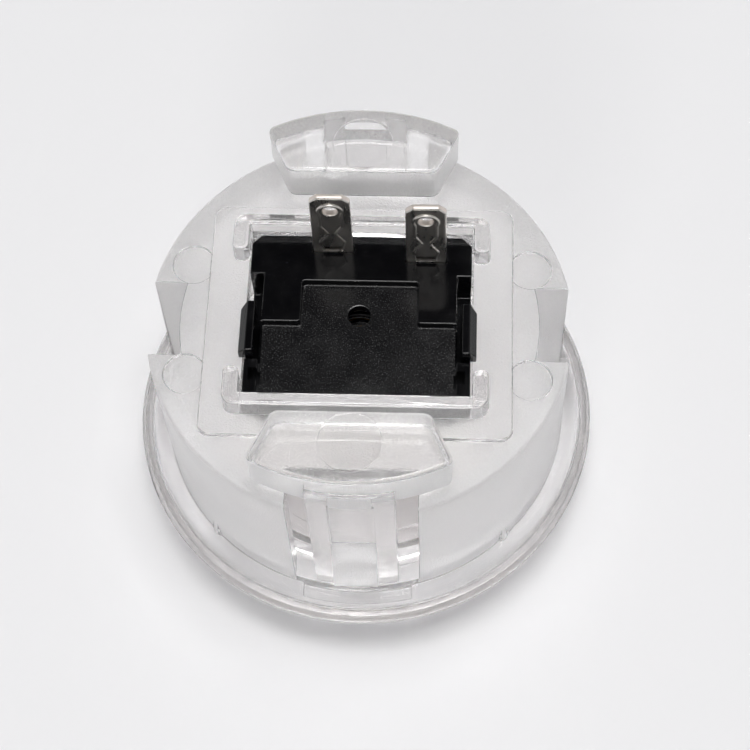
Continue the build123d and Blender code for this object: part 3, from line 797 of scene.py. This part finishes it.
switch = {
    "width": 15.5, "depth": 12.8, "low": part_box("switch_case")[0].z / mm, "face": 19.9, "cornerCut": 0.65,
    "cellWidth": 11.9, "cellDepth": 11.2, "cellY": 0.2, "cellTop": 18.7,
    "panelDepth": 0.65, "panelWidth": 13.6, "panelBack": -0.45, "panelRound": 0.22,
    "tabWidth": 8.1, "tabBack": 2.8,
    "holeRadius": 0.775, "holeY": 0.4, "holeDeep": 0.5, "mouthWide": 0.12, "mouthNeck": (0.04, 0.03),
    "pocketDepth": 0.6, "pocketSize": (0.8, 1.0), "pocketAt": (7.0, -4.6),
    "armWall": 0.6, "armFront": -3.2, "armBack": 0.65, "armFoot": 16.9, "armSink": 0.3,
    "slotFront": -3.4, "slotBack": 3.3, "slotWall": 1.0,
    "hookLow": 19.55, "hookHigh": 20.8, "hookProud": 0.4, "hookBevel": 0.5, "hookCut": 0.45,
    "lugWidth": 1.8, "lugProud": 0.7, "lugSink": 0.5, "lugHigh": 17.4, "lugLow": 16.4, "lugX": 5.9,
    "softEdge": 0.08, "softAngle": 30, "softSteps": 3,
}
blades = {"common_terminal": (-2.0, 5.4), "normally_open_terminal": (4.55, 4.7)}
blade = {
    "width": 2.8, "wall": 0.5, "high": cadHigh.z / mm, "tipCut": 0.5, "tipRound": 0.3, "edge": 0.18,
    "slotGap": 0.05, "eyeRadius": 0.5, "eyeLip": 0.12, "eyeDrop": 1.6,
    "windowWidth": 1.4, "windowHeight": 0.5, "windowLift": 0.3, "embossRadius": 0.85, "embossHeight": 0.12,
    "sideWidth": 1.5, "sideDrop": 1.9, "neckWidth": 0.5, "neckDrop": 2.85,
    "footWidth": 1.7, "footLift": 1.4, "footEnd": 0.1, "bend": 0.2, "beadWidth": 0.2,
    "legWidth": 1.9, "legJoin": 0.2, "tongueLow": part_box("common_terminal")[0].z / mm, "tongueFront": 2.5,
    "tongueIn": 0.1, "softEdge": 0.04, "softAngle": 40, "softSteps": 2,
}
cutFaces = {"panelSkin": 0.03, "level": 0.9, "tipSkin": 0.02, "across": 0.6}


def snapArm(side):
    # the arm's section in XZ, carried along Y, with its hook over the base plate
    outer = switch["width"] / 2
    inner, tip = outer - switch["armWall"], outer + switch["hookProud"]
    low, high, bevel = switch["hookLow"], switch["hookHigh"], switch["hookBevel"]
    foot = switch["armFoot"] - switch["armSink"]
    section = np.array([
        (inner, foot), (outer, foot), (outer, low), (tip, low),
        (tip, high - bevel), (tip - bevel, high), (inner, high),
    ]) * (side, 1)
    arm = carried("snapArm", section, [(switch["armFront"], 0), (switch["armBack"], 0)], "xzy")
    corner = (side * tip, switch["armBack"])
    diamond = np.array([(-1, 0), (0, -1), (1, 0), (0, 1)]) * switch["hookCut"] + corner
    return tooled(arm, [carried("hookCorner", diamond, [(low, 0), (high + past["end"], 0)])], "DIFFERENCE")


def teeOutline():
    # the sunk panel: wide at the front, where it runs out of the case, with a narrower tab at the back
    wide, tab = switch["panelWidth"] / 2, switch["tabWidth"] / 2
    front, middle, back = -switch["depth"] / 2 - past["end"], switch["panelBack"], switch["tabBack"]
    corners = [
        (-wide, front), (wide, front), (wide, middle), (tab, middle),
        (tab, back), (-tab, back), (-tab, middle), (-wide, middle),
    ]
    return roundCorners(corners, [0, 0] + [switch["panelRound"]] * 6, 5)


def panelPockets(floor, above):
    # the small hole with its flared mouth, and a pocket in each front corner of the panel
    wide, (neckDrop, neckWide) = switch["mouthWide"], switch["mouthNeck"]
    flare = [
        (switch["cellTop"] - switch["holeDeep"], 0), (floor - wide, 0), (floor - neckDrop, -neckWide),
        (floor, -wide), (above, -wide),
    ]
    tools = [carried("hole", circlePoints((0, switch["holeY"]), switch["holeRadius"], 48), flare)]
    (atX, atY), (halfX, halfY) = switch["pocketAt"], np.array(switch["pocketSize"]) / 2
    for x in (-atX, atX):
        low = (x - halfX, atY - halfY, floor - switch["pocketDepth"])
        tools.append(block("pocket", low, (x + halfX, atY + halfY, above)))
    return tools


def makeSwitchCase():
    halfX, halfY, cut = switch["width"] / 2, switch["depth"] / 2, switch["cornerCut"]
    low, face = switch["low"], switch["face"]
    outline = np.array([
        (-halfX, -halfY), (halfX, -halfY), (halfX, halfY - cut),
        (halfX - cut, halfY), (cut - halfX, halfY), (-halfX, halfY - cut),
    ])
    piece = carried("switchCase", outline, [(low, 0), (face, 0)])
    halfLug, proud, sink = switch["lugWidth"] / 2, switch["lugProud"], switch["lugSink"]
    lugs = [
        block("lug", (x - halfLug, near, switch["lugLow"]), (x + halfLug, far, switch["lugHigh"]))
        for x in (-switch["lugX"], switch["lugX"])
        for near, far in ((-halfY - proud, sink - halfY), (halfY - sink, halfY + proud))
    ]
    tooled(piece, lugs, "UNION")
    floor, above = face - switch["panelDepth"], face + past["top"]
    cellX, cellY, cellTop = switch["cellWidth"] / 2, switch["cellDepth"] / 2, switch["cellTop"]
    cellFront, cellBack = switch["cellY"] - cellY, switch["cellY"] + cellY
    cuts = [
        block("cell", (-cellX, cellFront, low - past["end"]), (cellX, cellBack, cellTop)),
        carried("panel", teeOutline(), [(floor, 0), (above, 0)]),
    ]
    for side in (-1, 1):
        near, far = sorted((side * (halfX - switch["slotWall"]), side * (halfX + past["end"])))
        foot = (near, switch["slotFront"], switch["armFoot"])
        cuts.append(block("armSlot", foot, (far, switch["slotBack"], above)))
    reachX, reachY = blade["width"] / 2 + blade["slotGap"], blade["wall"] / 2 + blade["slotGap"]
    for x, y in blades.values():
        foot = (x - reachX, y - reachY, cellTop - past["end"])
        cuts.append(block("bladeSlot", foot, (x + reachX, y + reachY, above)))
    tooled(piece, cuts, "DIFFERENCE")
    tooled(piece, [snapArm(-1), snapArm(1)], "UNION")
    softEdges(piece, switch["softEdge"], switch["softAngle"], switch["softSteps"])
    tooled(piece, panelPockets(floor, above), "DIFFERENCE")
    dressed(piece, "housing", [polishedBlack, erodedBlackPaintedGlints], ["switch_case"])
    centre, normal = faceArrays(piece)
    onPanel = np.abs(centre[:, 2] - floor) < cutFaces["panelSkin"]
    finishFaces(piece, onPanel & (normal[:, 2] > cutFaces["level"]))
    return piece


def keyholeOutline(x, eyeZ, footZ):
    # a ring round the eye that runs down into a neck and widens again above the window
    lean = math.degrees(math.acos(blade["sideWidth"] / 2 / blade["embossRadius"]))
    ring = arcPoints((x, eyeZ), blade["embossRadius"], -lean, 180 + lean, 41)
    left = np.array([
        (-blade["sideWidth"], eyeZ - blade["sideDrop"]), (-blade["neckWidth"], eyeZ - blade["neckDrop"]),
        (-blade["footWidth"], switch["face"] + blade["footLift"]), (-blade["windowWidth"], footZ),
    ]) * (0.5, 1)
    lower = np.concatenate([left, (left * (-1, 1))[::-1]]) + (x, 0)
    bends = np.array([0] + [blade["bend"]] * 3 + [0])
    corners = np.concatenate([ring[-1:], lower, ring[:1]])
    return np.concatenate([ring[1:-1], roundCorners(corners, np.concatenate([bends, bends[::-1]]), 5)])


def makeBlade(node, x, y):
    # outlines in XZ, carried along Y: the strip, its raised keyhole, the leg and the contact tongue
    half, front, back = blade["width"] / 2, y - blade["wall"] / 2, y + blade["wall"] / 2
    low, high, cut = switch["cellTop"], blade["high"], blade["tipCut"]
    strip = np.array([
        (-half, low), (half, low), (half, high - cut),
        (half - cut, high), (cut - half, high), (-half, high - cut),
    ]) + (x, 0)
    edges = roundedLevels(front, back, blade["edge"], blade["edge"], 4)
    outline = roundCorners(strip, [0, 0] + [blade["tipRound"]] * 4, 5)
    piece = carried(node.replace("_terminal", "Blade"), outline, edges, "xzy")
    eyeZ, windowZ = high - blade["eyeDrop"], switch["face"] + blade["windowLift"]
    windowX, windowUp = blade["windowWidth"] / 2, blade["windowHeight"] / 2
    keyhole = keyholeOutline(x, eyeZ, windowZ + windowUp - blade["footEnd"])
    emboss = bead("emboss", keyhole, blade["beadWidth"] / 2, blade["embossHeight"], front)
    legX, tongueLow = blade["legWidth"] / 2, blade["tongueLow"]
    leg = block("leg", (x - legX, front, tongueLow), (x + legX, back, low + blade["legJoin"]))
    tongueEnd = (x + legX, back - blade["tongueIn"], tongueLow + blade["wall"])
    tongue = block("tongue", (x - legX, blade["tongueFront"], tongueLow), tongueEnd)
    tooled(piece, [emboss, leg, tongue], "UNION")
    lip, before, behind = blade["eyeLip"], front - past["end"], back + past["end"]
    flare = roundedLevels(front, back, lip, lip, 5) * (1, -1)
    flare = np.concatenate([[(before, -lip)], flare, [(behind, -lip)]])
    eye = carried("eye", circlePoints((x, eyeZ), blade["eyeRadius"], 48), flare, "xzy")
    windowLow = (x - windowX, before, windowZ - windowUp)
    windowHigh = (x + windowX, behind, windowZ + windowUp)
    tooled(piece, [eye, block("window", windowLow, windowHigh)], "DIFFERENCE")
    softEdges(piece, blade["softEdge"], blade["softAngle"], blade["softSteps"])
    dressed(piece, "housing", [tinned, sheared], [node])
    centre, normal = faceArrays(piece)
    inEye = np.hypot(centre[:, 0] - x, centre[:, 2] - eyeZ) < blade["eyeRadius"] + lip / 2
    atTip = centre[:, 2] > high - cut - cutFaces["tipSkin"]
    finishFaces(piece, (inEye | atTip) & (np.abs(normal[:, 1]) < cutFaces["across"]))
    return piece


makeSwitchCase()
for node, (x, y) in blades.items():
    makeBlade(node, x, y)


# Return spring and the small pieces inside the switch

spring = {
    "radius": 2.1, "wire": 0.225, "turns": 5.0, "low": 12.325, "high": 18.475, "around": 14, "steps": 300,
    "pressed": 0.667,
}


def makeSpring():
    # a ring of wire carried along a helix: P(u, v) = c(u) + w (cos v * outward(u) + sin v * binormal(u))
    radius, around, steps = spring["radius"], spring["around"], spring["steps"]
    u = np.linspace(0, 2 * np.pi * spring["turns"], steps)
    rise = (spring["high"] - spring["low"]) / (2 * np.pi * spring["turns"])
    outward = np.stack([np.cos(u), np.sin(u), 0 * u], 1)
    tangent = np.stack([-radius * np.sin(u), radius * np.cos(u), rise + 0 * u], 1)
    tangent /= np.linalg.norm(tangent, axis=1, keepdims=True)
    binormal = np.cross(tangent, outward)
    centre = radius * outward + np.stack([0 * u, 0 * u, spring["low"] + rise * u], 1)
    v = np.linspace(0, 2 * np.pi, around, endpoint=False)[None, :, None]
    points = centre[:, None] + spring["wire"] * (np.cos(v) * outward[:, None] + np.sin(v) * binormal[:, None])
    last = (steps - 1) * around
    faces = ringFaces(steps, around, False) + [list(range(around)), list(range(last, last + around))]
    piece = meshPiece("returnSpring", points.reshape(-1, 3), faces)
    dressed(piece, "housing", [stampedMetal("springSteelPaintedShade")], ["return_spring"])
    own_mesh(piece)


makeSpring()
silver = stampedMetal("contactSilver")
paleNylon = actuatorPlastic()
innerLooks = {
    "switch_cover": paleNylon, "switch_actuator": paleNylon, "contact_bridge": stampedMetal("bridgeMetal"),
    "moving_contacts": silver, "fixed_contacts": silver,
}
for node, material in innerLooks.items():
    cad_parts[node].data.materials.clear()
    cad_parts[node].data.materials.append(material)
print("switch and spring made")


# Camera: the photograph's view, found from the collar, the rim and the switch

shot = {
    "place": (6.495, -61.673, 133.692), "lens": 90.04, "sensor": 36.0, "near": 0.005, "far": 10,
    "right": (0.99897, 0.03585, -0.02775), "up": (-0.01956, 0.89301, 0.4496),
    "back": (0.04092, -0.44861, 0.89282),
}


def makeCamera():
    data = bpy.data.cameras.new("camera")
    data.lens = shot["lens"]
    data.sensor_width = shot["sensor"]
    data.clip_start = shot["near"]
    data.clip_end = shot["far"]
    camera = bpy.data.objects.new("camera", data)
    bpy.context.scene.collection.objects.link(camera)
    columns = [Vector(shot[axis]) for axis in ("right", "up", "back")] + [Vector(shot["place"]) * mm]
    camera.matrix_world = Matrix([[column[row] for column in columns] for row in range(3)] + [[0, 0, 0, 1]])
    bpy.context.scene.camera = camera


# Studio: a pale floor, pale walls, a dimmer ceiling, a lamp overhead and a small one in front

studio = {
    "floor": (0.84, 0.84, 0.852, 1), "floorSize": 1.6, "floorLevel": -0.03, "floorShine": 0.2,
    "floorGloss": (0.75, 0.85), "floorNoise": (40, 2),
    "wall": (0.92, 0.92, 0.93, 1), "wallTop": 0.25, "ceiling": (0.27, 0.27, 0.275, 1), "ceilingFrom": 0.45,
    "open": (1, 1, 1, 1), "gap": (0.06, 0.06, 0.06, 1), "gapAt": (-0.05, 0.45, 0.89), "gapEdge": (0.86, 0.97),
}
lamps = {
    "topLamp": {"place": (50, 30, 900), "size": 430, "power": 5.4, "colour": (1.0, 0.995, 0.99)},
    "frontLamp": {"place": (-60, -450, 230), "size": 150, "power": 0.4, "colour": (1.0, 0.98, 0.95)},
}
bounces = {"most": 40, "diffuse": 8, "transparent": 24}  # the clear walls pass light on many times


def makeFloor():
    half, level = studio["floorSize"] / 2 / mm, studio["floorLevel"]
    corners = [(-half, -half, level), (half, -half, level), (half, half, level), (-half, half, level)]
    floor = meshPiece("floor", corners, [[0, 1, 2, 3]])
    material, tree, shader, place = startMaterial("paleFloor")
    shader.inputs["Base Color"].default_value = studio["floor"]
    shader.inputs["Specular IOR Level"].default_value = studio["floorShine"]
    paper = noiseAt(tree, place, *studio["floorNoise"])
    tree.links.new(spread(tree, paper, *studio["floorGloss"]), shader.inputs["Roughness"])
    floor.data.materials.append(material)


def makeWorld():
    # pale walls, a dimmer ceiling and a dark gap in it above and behind:
    # shade = ramp(direction . up) * ramp(direction . gapAt)
    world = bpy.data.worlds.new("studio")
    bpy.context.scene.world = world
    world.use_nodes = True
    tree = world.node_tree
    direction = tree.nodes.new("ShaderNodeTexCoord").outputs["Generated"]
    ramps = (
        ((0, 0, 1), ((studio["wallTop"], studio["wall"]), (studio["ceilingFrom"], studio["ceiling"]))),
        (studio["gapAt"], tuple(zip(studio["gapEdge"], (studio["open"], studio["gap"])))),
    )
    product = tree.nodes.new("ShaderNodeVectorMath")
    product.operation = "MULTIPLY"
    for socket, (axis, stops) in zip(product.inputs, ramps):
        towards = tree.nodes.new("ShaderNodeVectorMath")
        towards.operation = "DOT_PRODUCT"
        towards.inputs[1].default_value = Vector(axis).normalized()
        tree.links.new(direction, towards.inputs[0])
        tree.links.new(rampFrom(tree, towards.outputs["Value"], stops, "EASE"), socket)
    tree.links.new(product.outputs["Vector"], tree.nodes["Background"].inputs["Color"])


def makeLamps():
    for name, lamp in lamps.items():
        data = bpy.data.lights.new(name, "AREA")
        data.size = lamp["size"] * mm
        data.energy = lamp["power"]
        data.color = lamp["colour"]
        light = bpy.data.objects.new(name, data)
        bpy.context.scene.collection.objects.link(light)
        place = Vector(lamp["place"]) * mm
        light.matrix_world = Matrix.Translation(place) @ place.to_track_quat("Z", "Y").to_matrix().to_4x4()


makeCamera()
makeFloor()
makeWorld()
makeLamps()
scene = bpy.context.scene
scene.view_settings.view_transform = "Standard"
scene.cycles.max_bounces = bounces["most"]
scene.cycles.diffuse_bounces = bounces["diffuse"]
scene.cycles.transmission_bounces = bounces["most"]
scene.cycles.glossy_bounces = bounces["most"]
scene.cycles.transparent_max_bounces = bounces["transparent"]
scene.cycles.blur_glossy = 0  # keeps the light that comes up through the clear walls
print("studio ready")
